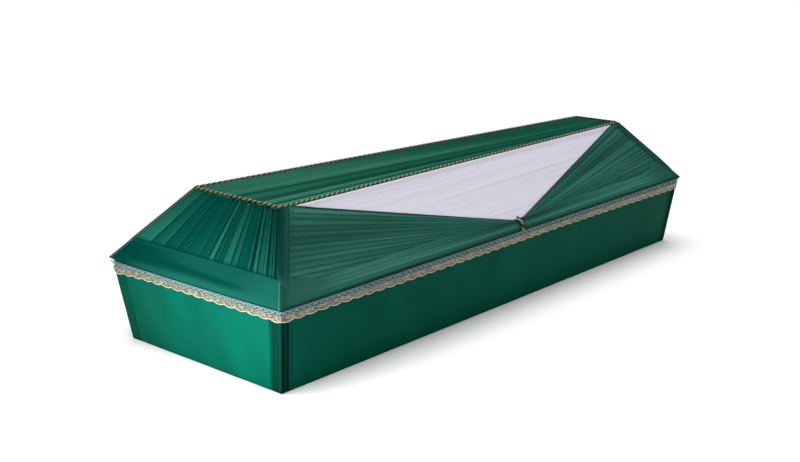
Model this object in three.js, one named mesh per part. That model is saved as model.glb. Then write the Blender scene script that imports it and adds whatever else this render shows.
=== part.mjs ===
// A cloth-covered cremation container: a tapered board tray that flares upwards, and a lift-off
// hipped lid, dressed in pleated cloth, two draped swags, lace and twisted cord.
// Millimetres, +Z up. The head end is at -X, the foot end at +X and the right-hand side at -Y.
// The origin is on the ground, under the middle of the lid's rim.

import * as THREE from 'three';

// Rim of the lid, seen from above: a long trapezium, wider at the head
const LENGTH = 2000;
const HEAD_WIDTH = 714;
const FOOT_WIDTH = 502;
const RIM_HEIGHT = 236;

// Lid: four slopes of one pitch that meet a flat top
const LID_INSET = 169;
const LID_RISE = 198;
const TOP_CLIMB = 0.965;
const LID_BOARD_TOP = 425;

// Tray: how far its walls stand inside the rim's outline, at the ground and at the tray's top edge
const TRAY_HEIGHT = 226;
const HEAD_FOOTING = 37;
const FOOT_FOOTING = 25;
const SIDE_FOOTING = 45;
const TRAY_TOP_INSET = 9;

// Board, cloth and the clearance between touching pieces
const BOARD = 15;
const CLOTH = 1.5;
const GAP = 0.3;

// Cloth covering of the lid
const COVER_DEPTH = 6;
const STRIP_ON_SIDE = 28;
const STRIP_ON_END = 13;
const HEM_CLIMB = 0.28;
const WEDGE_CLIMB = 0.17;
const WEDGE_CORNER_CLIMB = 0.115;
const SEAM = 0.003;

// Swag on each long side: drawn together under the white panel's lowest point
const TIE_X = 32;
const TIE_HALF_LENGTH = 26;
const TIE_CLIMB = 0.155;
const SWAG_HEAD_X = -782;
const SWAG_FOOT_X = 778;
const SWAG_PLEATS = 9;

// Lace ribbon round the tray's top edge
const LACE_TOP = 228;
const LACE_BOTTOM = 204;
const LACE_THICKNESS = 1.6;
const SCALLOP_PITCH = 44;
const SCALLOP_DEPTH = 5;

// Folded strips of cloth beside the tray's corners
const FOLD_ON_SIDE = 60;
const FOLD_ON_END = 34;
const FOLD_THICKNESS = 1;

// Twisted cord round the lid's flat top, and the short cords that tie the swags
const CORD_RADIUS = 4.5;
const CORD_SIDES = 8;

const SLOPE_LENGTH = Math.hypot(LID_INSET, LID_RISE);
const OUTWARD = LID_RISE / SLOPE_LENGTH;
const UPWARD = LID_INSET / SLOPE_LENGTH;
const TAPER = (HEAD_WIDTH - FOOT_WIDTH) / (2 * LENGTH);
const COVER_FLOOR = GAP - COVER_DEPTH;

const satin = new THREE.MeshStandardMaterial({ color: 0x1c7560, roughness: 0.45, metalness: 0 });
const darkSatin = new THREE.MeshStandardMaterial({ color: 0x1f5f4c, roughness: 0.5, metalness: 0 });
const whiteCloth = new THREE.MeshStandardMaterial({ color: 0xdcd8e6, roughness: 0.7, metalness: 0 });
const kraftBoard = new THREE.MeshStandardMaterial({ color: 0xb08a5c, roughness: 0.9, metalness: 0 });
const lace = new THREE.MeshStandardMaterial({ color: 0xb9bfa4, roughness: 0.6, metalness: 0.2 });
const goldCord = new THREE.MeshStandardMaterial({ color: 0x9a844c, roughness: 0.5, metalness: 0.3 });

const mix = THREE.MathUtils.lerp;
const smooth = THREE.MathUtils.smoothstep;

// Evenly spaced numbers from first to last, both included
function steps(first, last, count) {
  return Array.from({ length: count + 1 }, (_, i) => mix(first, last, i / count));
}

// Half of the rim outline's width at x
function halfWidth(x) {
  return HEAD_WIDTH / 2 - TAPER * (x + LENGTH / 2);
}

// The outline's four corners, moved in from the rim and set at one height, in order round the piece
function corners(headInset, footInset, sideInset, z) {
  const headX = headInset - LENGTH / 2;
  const footX = LENGTH / 2 - footInset;
  const headY = halfWidth(headX) - sideInset;
  const footY = halfWidth(footX) - sideInset;
  return [
    new THREE.Vector3(headX, headY, z),
    new THREE.Vector3(headX, -headY, z),
    new THREE.Vector3(footX, -footY, z),
    new THREE.Vector3(footX, footY, z),
  ];
}

// The tray's outline at a height, a given depth behind its finished cloth face
function trayCorners(z, depth) {
  const share = z / TRAY_HEIGHT;
  const inset = (footing) => mix(footing, TRAY_TOP_INSET, share) + depth;
  return corners(inset(HEAD_FOOTING), inset(FOOT_FOOTING), inset(SIDE_FOOTING), z);
}

// A point of a lid slope is given by its climb, from 0 at the rim to 1 at the top edge, and by how
// proud it stands of the finished face
function insetAt(climb, proud) {
  return LID_INSET * climb - OUTWARD * proud;
}

function heightAt(climb, proud) {
  return RIM_HEIGHT + LID_RISE * climb + UPWARD * proud;
}

function hipX(end, climb, proud) {
  return end * (LENGTH / 2 - insetAt(climb, proud));
}

function hipY(end, climb, proud) {
  return halfWidth(hipX(end, climb, proud)) - insetAt(climb, proud);
}

function onSide(x, climb, proud) {
  return new THREE.Vector3(x, insetAt(climb, proud) - halfWidth(x), heightAt(climb, proud));
}

function onEnd(end, y, climb, proud) {
  return new THREE.Vector3(hipX(end, climb, proud), y, heightAt(climb, proud));
}

// A closed body from its points and triangles, turned so that its faces point out
function body(points, triangles) {
  let volume = 0;
  const cross = new THREE.Vector3();
  for (const [a, b, c] of triangles) {
    volume += cross.crossVectors(points[a], points[b]).dot(points[c]);
  }
  const faces = volume > 0 ? triangles : triangles.map(([a, b, c]) => [a, c, b]);
  const geometry = new THREE.BufferGeometry();
  const numbers = points.flatMap((p) => [p.x, p.y, p.z]);
  geometry.setAttribute('position', new THREE.Float32BufferAttribute(numbers, 3));
  geometry.setIndex(faces.flat());
  geometry.computeVertexNormals();
  return geometry;
}

// Two triangles between neighbours i and i + 1 of ring a and ring b
function bridge(triangles, a, b, i, count) {
  const next = (i + 1) % count;
  triangles.push([a + i, b + i, b + next], [a + i, b + next, a + next]);
}

// A skin over a row of rings that each close on themselves, capped at both ends
function loft(rings) {
  const count = rings[0].length;
  const triangles = [];
  for (let r = 0; r + 1 < rings.length; r += 1) {
    for (let i = 0; i < count; i += 1) {
      bridge(triangles, r * count, (r + 1) * count, i, count);
    }
  }
  const last = (rings.length - 1) * count;
  for (let i = 1; i + 1 < count; i += 1) {
    triangles.push([0, i, i + 1], [last, last + i + 1, last + i]);
  }
  return body(rings.flat(), triangles);
}

// A skin over rings that follow each other in a closed loop, such as a frame or a ribbon
function hoop(rings) {
  const count = rings[0].length;
  const triangles = [];
  for (let r = 0; r < rings.length; r += 1) {
    const next = ((r + 1) % rings.length) * count;
    for (let i = 0; i < count; i += 1) {
      bridge(triangles, r * count, next, i, count);
    }
  }
  return body(rings.flat(), triangles);
}

// A sheet with thickness: a grid of face points over a grid of back points of the same size
function sheet(face, back) {
  const rows = face.length;
  const columns = face[0].length;
  const behind = rows * columns;
  const triangles = [];
  const at = (row, column) => row * columns + column;
  for (let row = 0; row + 1 < rows; row += 1) {
    for (let column = 0; column + 1 < columns; column += 1) {
      const a = at(row, column);
      const b = at(row, column + 1);
      const c = at(row + 1, column + 1);
      const d = at(row + 1, column);
      triangles.push([a, b, c], [a, c, d]);
      triangles.push([a + behind, c + behind, b + behind], [a + behind, d + behind, c + behind]);
    }
  }
  const edge = (a, b) => {
    triangles.push([a, a + behind, b + behind], [a, b + behind, b]);
  };
  for (let column = 0; column + 1 < columns; column += 1) {
    edge(at(0, column), at(0, column + 1));
    edge(at(rows - 1, column + 1), at(rows - 1, column));
  }
  for (let row = 0; row + 1 < rows; row += 1) {
    edge(at(row + 1, 0), at(row, 0));
    edge(at(row, columns - 1), at(row + 1, columns - 1));
  }
  return body([...face.flat(), ...back.flat()], triangles);
}

// A sheet whose face and back come from one placing rule, place(row, column, proud)
function coveringSheet(rows, columns, place, face, back) {
  const grid = (proud) => rows.map((row) => columns.map((column) => place(row, column, proud(row, column))));
  return sheet(grid(face), grid(back));
}

// Knife pleats across a sheet: sharp crest just after each fold, then a long slope to the next fold
function pleatRows(count, crestShare) {
  const rows = [];
  for (let pleat = 0; pleat < count; pleat += 1) {
    rows.push({ at: pleat / count, crest: 0 }, { at: (pleat + crestShare) / count, crest: 1 });
  }
  rows.push({ at: 1, crest: 0 });
  return rows;
}

function mesh(name, geometry, material) {
  const piece = new THREE.Mesh(geometry, material);
  piece.name = name;
  return piece;
}

// The same piece on the other long side
function mirrored(name, geometry, material) {
  const piece = mesh(name, geometry, material);
  piece.scale.y = -1;
  return piece;
}

// Tray of board, open at the top
function trayBoard() {
  const outer = CLOTH + GAP;
  const inner = outer + BOARD;
  return loft([
    trayCorners(0, outer),
    trayCorners(TRAY_HEIGHT, outer),
    trayCorners(TRAY_HEIGHT, inner),
    trayCorners(BOARD, inner),
  ]);
}

// Outline of the tray's cloth, standing proud in a folded strip on both sides of each corner
function clothOutline(z, depth) {
  const flat = trayCorners(z, depth);
  const raised = trayCorners(z, depth - FOLD_THICKNESS);
  const points = [];
  for (let i = 0; i < 4; i += 1) {
    const next = (i + 1) % 4;
    const fold = i % 2 === 0 ? FOLD_ON_END : FOLD_ON_SIDE;
    const share = fold / flat[i].distanceTo(flat[next]);
    const edge = (fold + 2 * FOLD_THICKNESS) / flat[i].distanceTo(flat[next]);
    points.push(raised[i]);
    points.push(raised[i].clone().lerp(raised[next], share));
    points.push(flat[i].clone().lerp(flat[next], edge));
    points.push(flat[i].clone().lerp(flat[next], 1 - edge));
    points.push(raised[i].clone().lerp(raised[next], 1 - share));
  }
  return points;
}

// Cloth stretched over the tray's walls
function trayCloth() {
  const low = 1;
  const high = TRAY_HEIGHT - 1;
  const outside = [clothOutline(low, 0), clothOutline(high, 0)];
  const inside = [trayCorners(high, CLOTH), trayCorners(low, CLOTH)].map((ring) => {
    const points = [];
    for (let i = 0; i < 4; i += 1) {
      points.push(...steps(0, 0.8, 4).map((t) => ring[i].clone().lerp(ring[(i + 1) % 4], t)));
    }
    return points;
  });
  const [a, b, c, d] = [outside[0], outside[1], inside[0], inside[1]];
  return hoop(a.map((_, i) => [a[i], b[i], c[i], d[i]]));
}

// Lace ribbon with a scalloped lower edge
function laceTrim() {
  const back = -FOLD_THICKNESS - GAP;
  const front = back - LACE_THICKNESS;
  const ring = (z, depth) => trayCorners(z, depth);
  const levels = [ring(LACE_TOP, back), ring(LACE_TOP, front)];
  const valley = [ring(LACE_BOTTOM, front), ring(LACE_BOTTOM, back)];
  const lobe = [ring(LACE_BOTTOM - SCALLOP_DEPTH, front), ring(LACE_BOTTOM - SCALLOP_DEPTH, back)];
  const sections = [];
  for (let i = 0; i < 4; i += 1) {
    const along = (corner, share) => corner[i].clone().lerp(corner[(i + 1) % 4], share);
    const scallops = Math.round(levels[0][i].distanceTo(levels[0][(i + 1) % 4]) / SCALLOP_PITCH);
    for (let s = 0; s < scallops; s += 1) {
      for (const [place, low] of [[0, valley], [1 / 4, lobe], [3 / 4, lobe]]) {
        const share = (s + place) / scallops;
        sections.push([...levels, ...low].map((corner) => along(corner, share)));
      }
    }
  }
  return hoop(sections);
}

// Lid of board: squared rim, cut level where it rests on the tray, and hollow beneath
function lidBoard() {
  const seat = TRAY_HEIGHT + GAP;
  const tipClimb = 0.007;
  const tipInset = insetAt(tipClimb, -COVER_DEPTH);
  const tipHeight = heightAt(tipClimb, -COVER_DEPTH);
  const seatInset = tipInset + (tipHeight - seat) * (OUTWARD / UPWARD);
  // How far in a face lies at height z, a given depth behind the finished slope
  const faceInset = (z, depth) => insetAt(0, -depth) + (z - heightAt(0, -depth)) * (UPWARD / OUTWARD);
  const ring = (inset, z) => corners(inset, inset, inset, z);
  const ceiling = LID_BOARD_TOP - BOARD;
  return loft([
    ring(faceInset(ceiling, COVER_DEPTH + BOARD), ceiling),
    ring(faceInset(seat, COVER_DEPTH + BOARD), seat),
    ring(seatInset, seat),
    ring(tipInset, tipHeight),
    ring(faceInset(LID_BOARD_TOP, COVER_DEPTH), LID_BOARD_TOP),
  ]);
}

// Flat top: cloth in soft lengthwise pleats that drift a little to one side
function lidTopCloth() {
  const inset = 172;
  const backHeight = LID_BOARD_TOP + GAP;
  const faceHeight = LID_BOARD_TOP + 3.6;
  const relief = 1.6;
  const drift = 0.04;
  const columns = steps(inset - LENGTH / 2, LENGTH / 2 - inset, 3);
  const place = (row, x, z) => {
    const share = (x + LENGTH / 2) / LENGTH - 0.5;
    const across = row.at + drift * share * Math.sin(Math.PI * row.at);
    return new THREE.Vector3(x, (2 * across - 1) * (halfWidth(x) - inset), z);
  };
  const rows = pleatRows(9, 0.3);
  return coveringSheet(rows, columns, place, (row) => faceHeight + relief * row.crest, () => backHeight);
}

// Cord that frames the flat top
function lidTopCord() {
  const inset = 166;
  const z = 431.5;
  const section = steps(0, 2 * Math.PI, CORD_SIDES).slice(0, CORD_SIDES);
  const rings = section.map((angle) => {
    const ringInset = inset - CORD_RADIUS * Math.cos(angle);
    return corners(ringInset, ringInset, ringInset, z + CORD_RADIUS * Math.sin(angle));
  });
  return hoop([0, 1, 2, 3].map((corner) => rings.map((ring) => ring[corner])));
}

// Fan of knife pleats on an end slope, between the corner strips and above the hem band
function endPleats(end, count) {
  const low = HEM_CLIMB + SEAM;
  const margin = STRIP_ON_END + GAP;
  const face = { fold: -2.6, crest: 1 };
  const place = (row, climb, proud) => {
    const reach = hipY(end, climb, proud) - margin;
    return onEnd(end, mix(-reach, reach, row.at), climb, proud);
  };
  const front = (row) => mix(face.fold, face.crest, row.crest);
  return coveringSheet(pleatRows(count, 0.22), [low, TOP_CLIMB], place, front, () => COVER_FLOOR);
}

// Padded hem band along the rim of an end
function hemBand(end) {
  const tip = GAP;
  const shoulder = STRIP_ON_END + 2 * GAP;
  const rows = [0, 0.25, 0.5, 0.75, 1];
  const columns = [-1.1, -1, -0.5, 0, 0.5, 1, 1.1];
  const place = (row, column, proud) => {
    const corner = Math.abs(column) > 1;
    const climb = row * (corner ? WEDGE_CORNER_CLIMB : HEM_CLIMB);
    const reach = hipY(end, climb, proud) - (corner ? tip : shoulder);
    return onEnd(end, reach * THREE.MathUtils.clamp(column, -1, 1), climb, proud);
  };
  const padding = (row, column) => (Math.abs(column) < 1 ? 2.4 * Math.sin(Math.PI * row) : 0);
  return coveringSheet(rows, columns, place, padding, () => COVER_FLOOR);
}

// Folded strip over a hip, with one leg on the side slope and one on the end slope
function cornerStrip(end) {
  const face = 0.8;
  const section = (side, corner, back) => {
    const onCorner = (proud) => onSide(hipX(end, corner, proud), corner, proud);
    const sideEdge = (proud) => onSide(hipX(end, side, proud) - end * STRIP_ON_SIDE, side, proud);
    const endEdge = (proud) => onEnd(end, STRIP_ON_END - hipY(end, back, proud), back, proud);
    return [
      onCorner(COVER_FLOOR),
      sideEdge(COVER_FLOOR),
      sideEdge(face),
      onCorner(face),
      endEdge(face),
      endEdge(COVER_FLOOR),
    ];
  };
  return loft([
    section(WEDGE_CLIMB + SEAM, WEDGE_CORNER_CLIMB + SEAM, HEM_CLIMB + SEAM),
    section(TOP_CLIMB, TOP_CLIMB, TOP_CLIMB),
  ]);
}

// White ground cloth of a side slope, seen in the triangle between the swag's two wings
function whitePanel() {
  const face = { fold: -4.6, crest: -3.6 };
  const place = (row, column, proud) => {
    const climb = mix(WEDGE_CORNER_CLIMB, TOP_CLIMB, row.at);
    const reach = STRIP_ON_SIDE + 2 * GAP;
    const head = hipX(-1, climb, proud) + reach;
    const foot = hipX(1, climb, proud) - reach;
    return onSide(mix(head, foot, column), climb, proud);
  };
  const front = (row) => mix(face.fold, face.crest, row.crest);
  return coveringSheet(pleatRows(8, 0.35), steps(0, 1, 2), place, front, () => COVER_FLOOR);
}

// Swag: one cloth drawn together at the tie, so that a pleated wing fans out to each corner strip
function swag() {
  const back = GAP - 3.3;
  const tieHeight = 0.004;
  const tieStation = 0.14;
  const roll = [0, 0.3, 0.65, 1].map((at) => ({
    climb: at * WEDGE_CLIMB,
    crest: Math.sin(Math.PI * at),
  }));
  const fan = pleatRows(SWAG_PLEATS, 0.25).slice(1).map(({ at, crest }) => ({
    climb: mix(WEDGE_CLIMB, TOP_CLIMB, at),
    crest: 0.45 * crest,
  }));
  const rows = [...roll, ...fan.slice(0, -1)];
  rows.push({ climb: TOP_CLIMB - SEAM, crest: 0.2 }, { climb: TOP_CLIMB, crest: 0 });
  const stations = [-1, -0.72, -0.42, -tieStation, 0, tieStation, 0.42, 0.72, 1];
  const place = ({ climb }, station, proud) => {
    const share = climb / TOP_CLIMB;
    const tieClimb = mix(tieHeight, TIE_CLIMB, share);
    const reach = Math.abs(station);
    if (reach <= tieStation) {
      return onSide(TIE_X + (station / tieStation) * TIE_HALF_LENGTH, tieClimb, proud);
    }
    const end = Math.sign(station);
    const wedge = (climb - WEDGE_CORNER_CLIMB) / (WEDGE_CLIMB - WEDGE_CORNER_CLIMB);
    const strip = STRIP_ON_SIDE * THREE.MathUtils.clamp(wedge, 0, 1);
    const corner = hipX(end, climb, proud) - end * (GAP + strip);
    const upper = end < 0 ? SWAG_HEAD_X : SWAG_FOOT_X;
    const outer = share === 1 ? upper : corner;
    const sag = 0.22 * climb * (1 - share) * Math.sin(Math.PI * reach);
    return onSide(mix(TIE_X, outer, reach), mix(tieClimb, climb, reach) - sag, proud);
  };
  const front = ({ climb, crest }, station) => {
    const gathered = 1 - smooth(Math.abs(station), 0.1, 0.6);
    const bundle = 6 * gathered * Math.sin(Math.PI * Math.sqrt(climb / TOP_CLIMB));
    return -1 + 3.4 * crest + bundle;
  };
  return coveringSheet(rows, stations, place, front, () => back);
}

// Short cord over the swag's gather, from the white panel down to the rim
function tieCord() {
  const route = [
    onSide(TIE_X - 13, 0.205, 1.8),
    onSide(TIE_X - 9, 0.165, 10),
    onSide(TIE_X - 2, 0.12, 13.8),
    onSide(TIE_X + 4, 0.065, 14.2),
    onSide(TIE_X + 8, 0.015, 13),
    onSide(TIE_X + 10, -0.035, 4),
  ];
  const curve = new THREE.CatmullRomCurve3(route);
  const count = 12;
  const frames = curve.computeFrenetFrames(count, false);
  const rings = steps(0, 1, count).map((t, i) => {
    const centre = curve.getPointAt(t);
    return steps(0, 2 * Math.PI, CORD_SIDES).slice(0, CORD_SIDES).map((angle) => centre.clone()
      .addScaledVector(frames.normals[i], CORD_RADIUS * Math.cos(angle))
      .addScaledVector(frames.binormals[i], CORD_RADIUS * Math.sin(angle)));
  });
  return loft(rings);
}

const container = new THREE.Group();

container.add(
  mesh('tray_board', trayBoard(), kraftBoard),
  mesh('tray_cloth', trayCloth(), satin),
  mesh('lace_trim', laceTrim(), lace),
  mesh('lid_board', lidBoard(), kraftBoard),
  mesh('lid_top_cloth', lidTopCloth(), satin),
  mesh('lid_top_cord', lidTopCord(), goldCord),
  mesh('head_pleats', endPleats(-1, 16), satin),
  mesh('head_hem_band', hemBand(-1), satin),
  mesh('foot_pleats', endPleats(1, 12), satin),
  mesh('foot_hem_band', hemBand(1), satin),
);

for (const [side, add] of [['right', mesh], ['left', mirrored]]) {
  container.add(
    add(`${side}_white_panel`, whitePanel(), whiteCloth),
    add(`${side}_swag`, swag(), darkSatin),
    add(`${side}_tie_cord`, tieCord(), goldCord),
    add(`head_${side}_corner_strip`, cornerStrip(-1), darkSatin),
    add(`foot_${side}_corner_strip`, cornerStrip(1), darkSatin),
  );
}

export default container;
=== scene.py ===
# %% [markdown]
# # A cloth-covered cremation container
# A board tray under a lift-off hipped lid is dressed in green satin, with white satin on the long
# slopes, a lace ribbon under the rim and a twisted cord round the flat top. The board comes from the
# frame as it is. This script makes the cloth, which the frame only blocks in.

# %% Load the frame
import bpy
import math
import numpy as np
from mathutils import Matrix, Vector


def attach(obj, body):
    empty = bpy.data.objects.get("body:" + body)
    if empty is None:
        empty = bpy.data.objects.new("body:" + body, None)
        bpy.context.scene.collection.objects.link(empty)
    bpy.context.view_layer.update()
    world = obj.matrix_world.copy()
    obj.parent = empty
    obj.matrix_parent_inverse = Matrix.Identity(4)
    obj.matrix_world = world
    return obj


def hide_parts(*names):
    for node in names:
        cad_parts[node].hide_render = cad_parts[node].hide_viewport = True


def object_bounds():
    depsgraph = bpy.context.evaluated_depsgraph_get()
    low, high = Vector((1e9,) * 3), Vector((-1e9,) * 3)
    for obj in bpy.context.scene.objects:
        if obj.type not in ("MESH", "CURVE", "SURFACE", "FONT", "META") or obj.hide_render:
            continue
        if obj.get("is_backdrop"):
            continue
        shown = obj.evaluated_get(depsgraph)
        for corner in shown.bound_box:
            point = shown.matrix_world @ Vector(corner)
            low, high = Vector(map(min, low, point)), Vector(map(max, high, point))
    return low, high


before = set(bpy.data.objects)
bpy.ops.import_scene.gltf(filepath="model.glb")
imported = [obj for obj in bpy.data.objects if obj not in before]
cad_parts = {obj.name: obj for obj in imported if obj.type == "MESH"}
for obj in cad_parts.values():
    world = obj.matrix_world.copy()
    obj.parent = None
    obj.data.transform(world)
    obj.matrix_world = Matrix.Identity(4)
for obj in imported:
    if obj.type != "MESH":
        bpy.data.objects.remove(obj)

MM = 0.001
cad_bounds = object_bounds()
print("CAD box", cad_bounds)

# %% [markdown]
# ## The camera
# Where it stands, how it is turned and its lens were worked out from corners of the container in the
# photograph. It comes first, so that every test render can be laid beside the photograph.

# %% Camera
scene = bpy.context.scene


def add_object(name, data):
    thing = bpy.data.objects.new(name, data)
    scene.collection.objects.link(thing)
    return thing


camera_data = bpy.data.cameras.new("camera")
camera_data.sensor_width = 36
camera_data.lens = 58.34
camera = add_object("camera", camera_data)
camera.location = (-2.9864, -2.6003, 1.2162)
camera.rotation_euler = (math.radians(75.369), 0, math.radians(-47.028))
scene.camera = camera
print("lens", camera_data.lens, "mm")

# %% [markdown]
# ## Where the cloth goes
# Cloth follows what it covers, so every piece is placed by the board's own slopes. A point on a slope is
# given by its climb, from 0 at the rim to 1 at the top edge, and by how proud it stands of the finished
# face. That keeps neighbours apart: a piece that lies over another is simply more proud.

# %% Sizes of the covered container, in metres
LENGTH = 2
HEAD_WIDTH = 0.714
FOOT_WIDTH = 0.502
RIM_HEIGHT = 0.236
LID_INSET = 0.169
LID_RISE = 0.198
TOP_CLIMB = 1
HEM_CLIMB = 0.283
TRAY_HEIGHT = 0.226
TRAY_TOP_INSET = 0.009
SLOPE_LENGTH = math.hypot(LID_INSET, LID_RISE)
OUTWARD = LID_RISE / SLOPE_LENGTH
UPWARD = LID_INSET / SLOPE_LENGTH
TAPER = (HEAD_WIDTH - FOOT_WIDTH) / (2 * LENGTH)
HEAD, FOOT = -1, 1
RIGHT, LEFT = -1, 1
ENDS = ((HEAD, "head"), (FOOT, "foot"))
HANDS = ((RIGHT, "right"), (LEFT, "left"))
# How far in from the rim's outline the tray stands on the floor
END_FOOTING = {HEAD: 0.037, FOOT: 0.025}
SIDE_FOOTING = 0.045
# The corners in order round the container
CORNERS = ((HEAD, LEFT), (HEAD, RIGHT), (FOOT, RIGHT), (FOOT, LEFT))
print("taper of each side", round(TAPER, 4))

# %% Placing rules
def mix(a, b, share):
    return a + (b - a) * share


def ease(value, start, stop, first=0, last=1):
    """Runs smoothly from first to last as the value goes from start to stop."""
    share = np.clip((value - start) / (stop - start), 0, 1)
    return mix(first, last, share * share * (3 - 2 * share))


def arch(share):
    """0 at 0 and at 1, and 1 halfway."""
    return np.sin(np.pi * share)


def bell(value, centre, width):
    return np.exp(-((value - centre) / width) ** 2)


def half_width(x):
    return HEAD_WIDTH / 2 - TAPER * (x + LENGTH / 2)


def points(x, y, z):
    return np.stack(np.broadcast_arrays(x, y, z), axis=-1)


def inset_at(climb, proud):
    return LID_INSET * climb - OUTWARD * proud


def height_at(climb, proud):
    return RIM_HEIGHT + LID_RISE * climb + UPWARD * proud


def hip_x(end, climb, proud=0):
    return end * (LENGTH / 2 - inset_at(climb, proud))


def hip_y(end, climb, proud):
    return half_width(hip_x(end, climb, proud)) - inset_at(climb, proud)


def on_side(hand, x, climb, proud, inset=0, drop=0):
    y = hand * (half_width(x) - inset_at(climb, proud)) - hand * inset
    return points(x, y, height_at(climb, proud) + drop)


def on_end(end, y, climb, proud, inset=0, drop=0):
    return points(hip_x(end, climb, proud) - end * inset, y, height_at(climb, proud) + drop)


# The cloth turns round the lid's rim and hugs the board's edge, as (inset, drop) from the rim's line
UNDER_RIM = MM * np.array([(0.6, -1.5), (2.5, -2.3), (5, -2.7), (9.5, -6.4)])
# How far the side's cloth laps round each corner onto the end, under the hem band
CORNER_LAP = 13 * MM
print("slope", round(SLOPE_LENGTH, 4), "m long")

# %% [markdown]
# ## From grids to cloth
# A cloth is thin, so each piece is a grid of face points over a grid of back points, closed along its
# edges. Its shape is then a plain rule for how proud each point stands. A UV map called weave holds
# metres along and across the cloth, so a pattern set in millimetres comes out at its true size.

# %% Mesh helpers
def distances(grid, axis=0):
    """How far each point lies from the first one, along a grid's axis or a line."""
    steps = np.diff(grid, axis=axis, prepend=np.take(grid, [0], axis))
    return np.linalg.norm(steps, axis=-1).cumsum(axis=axis)


def grid_quads(rows, columns, wrap):
    row, column = np.meshgrid(np.arange(rows - 1), np.arange(columns - (not wrap)), indexing="ij")
    beside = (column + 1) % columns
    a, b = row * columns + column, row * columns + beside
    return np.stack([a, b, b + columns, a + columns], axis=-1).reshape(-1, 4)


def shell(face, back, tone, wrap=False):
    """A closed sheet from grids of face points, back points and tones."""
    rows, columns = face.shape[:2]
    count = rows * columns
    front = grid_quads(rows, columns, wrap)
    quads = [front, front[:, ::-1] + count]
    index = np.arange(count).reshape(rows, columns)
    borders = [index[0], index[-1][::-1]]
    if wrap:
        borders = [np.append(border, border[0]) for border in borders]
    else:
        borders += [index[::-1, 0], index[:, -1]]
    for border in borders:
        a, b = border[:-1], border[1:]
        quads.append(np.stack([b, a, a + count, b + count], axis=-1))
    uv = np.stack([distances(face, 1), distances(face)], axis=-1)
    uv = np.tile(uv.reshape(-1, 2), (2, 1))
    tones = np.tile(np.broadcast_to(tone, (rows, columns)).ravel(), 2)
    return np.concatenate([face.reshape(-1, 3), back.reshape(-1, 3)]), np.concatenate(quads), uv, tones


# How thick every cloth is
CLOTH = 0.6 * MM


def cloth(place, tones):
    """A closed sheet from a rule that places its grid of points at an extra height."""
    return shell(place(0), place(-CLOTH), tones)


def piece(name, parts, finishes, replaces):
    """One object from closed parts, each (points, quads, uv, tone) and perhaps its finish's number."""
    rows, start = [], 0
    for co, quads, uv, tone, *finish in parts:
        a, b, c, d = (co[quads[:, k]] for k in range(4))
        # A volume below 0 means that the faces look inwards
        if np.sum(a * (np.cross(b, c) + np.cross(c, d))) < 0:
            quads = quads[:, ::-1]
        numbers = np.full(len(quads), finish[0] if finish else 0)
        rows.append((co, quads + start, uv, np.broadcast_to(tone, len(co)), numbers))
        start += len(co)
    co, quads, uv, tone, finish = (np.concatenate(columns) for columns in zip(*rows))
    mesh = bpy.data.meshes.new(name)
    mesh.from_pydata(co.tolist(), [], quads.tolist())
    mesh.shade_smooth()
    mesh.polygons.foreach_set("material_index", finish.astype(np.int32))
    mesh.uv_layers.new(name="weave").data.foreach_set("uv", uv[quads.ravel()].ravel())
    mesh.attributes.new("tone", "FLOAT", "POINT").data.foreach_set("value", tone)
    for material in finishes:
        mesh.materials.append(material)
    thing = add_object(name, mesh)
    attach(thing, "root")
    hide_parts(*replaces)
    print(name, 2 * len(quads), "triangles")
    return thing


# %% [markdown]
# ## Finishes
# Satin looks bright along the crest of a fold and nearly black down in it, as the light falls on it.
# That light and shade is painted: each cloth carries a number called tone at every point, 0 in a
# fold and 1 on a crest, and its colour runs with it from a painted shade through the dye's colour
# to a painted highlight.

# %% Colours and nodes
def linear(hex_colour):
    """An sRGB hex colour, such as "#1c7560", as the linear values that a shader takes."""
    channels = [int(hex_colour[k:k + 2], 16) / 255 for k in (1, 3, 5)]
    return [c / 12.92 if c <= 0.04045 else ((c + 0.055) / 1.055) ** 2.4 for c in channels] + [1]


def set_inputs(tree, node, inputs):
    """Sets or links inputs by name or by number (_0 is the first). A node stands for its output."""
    for key, value in inputs.items():
        socket = node.inputs[int(key[1:]) if key[0] == "_" else key.replace("_", " ")]
        if isinstance(value, bpy.types.Node):
            value = value.outputs[0]
        if isinstance(value, bpy.types.NodeSocket):
            tree.links.new(value, socket)
        else:
            socket.default_value = value


def add_node(tree, kind, settings=None, **inputs):
    node = tree.nodes.new("ShaderNode" + kind)
    for key, value in (settings or {}).items():
        setattr(node, key, value)
    set_inputs(tree, node, inputs)
    return node


def ramp(tree, factor, *stops):
    """A colour ramp with (place, hex colour) stops."""
    node = add_node(tree, "ValToRGB", Fac=factor)
    for k, (place, colour) in enumerate(stops):
        element = node.color_ramp.elements[k] if k < 2 else node.color_ramp.elements.new(place)
        element.position, element.color = place, linear(colour)
    return node


def new_material(name):
    material = bpy.data.materials.new(name)
    material.use_nodes = True
    return material, material.node_tree


def set_shader(tree, **inputs):
    set_inputs(tree, tree.nodes["Principled BSDF"], inputs)


def pattern_space(tree, across_mm, along_mm):
    """The weave map, scaled so that one unit is across_mm wide and along_mm long."""
    where = add_node(tree, "UVMap", {"uv_map": "weave"})
    scale = (1 / (across_mm * MM), 1 / (along_mm * MM), 1)
    return add_node(tree, "Mapping", Vector=where, Scale=scale)


# %% Satin
TONE = {"attribute_name": "tone"}
TIMES_PLUS = {"operation": "MULTIPLY_ADD"}


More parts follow.
